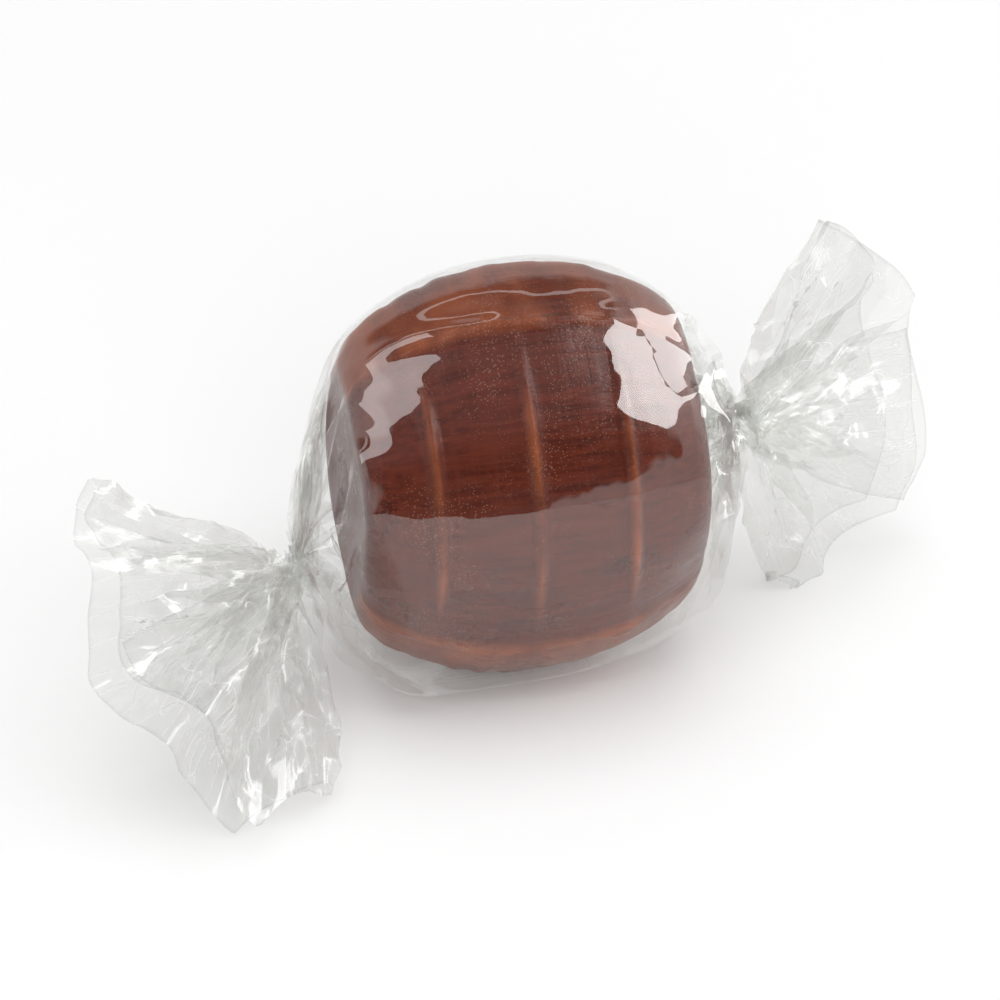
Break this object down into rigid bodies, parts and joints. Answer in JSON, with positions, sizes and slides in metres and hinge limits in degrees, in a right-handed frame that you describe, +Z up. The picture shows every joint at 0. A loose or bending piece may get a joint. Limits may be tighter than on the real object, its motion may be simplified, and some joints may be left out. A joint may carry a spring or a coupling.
{
  "type": "twist-wrapped root beer barrel candy",
  "caption": "Dark brown barrel-shaped hard candy with raised hoops, in a clear film wrapper twisted at both ends into pleated fans.",
  "frame": {"origin": "on the floor, straight below the candy's centre, on the flat of slack film that the candy rests on", "axes": "+X along the candy through both twists, -Y towards the shown front panel, +Z up"},
  "size_m": [0.0484, 0.0262, 0.0221],
  "materials": {
    "candy": "satin",
    "film": "gloss"
  },
  "bodies": {
    "root": {"candy": "candy", "wrapper": "film"}
  },
  "joints": []
}
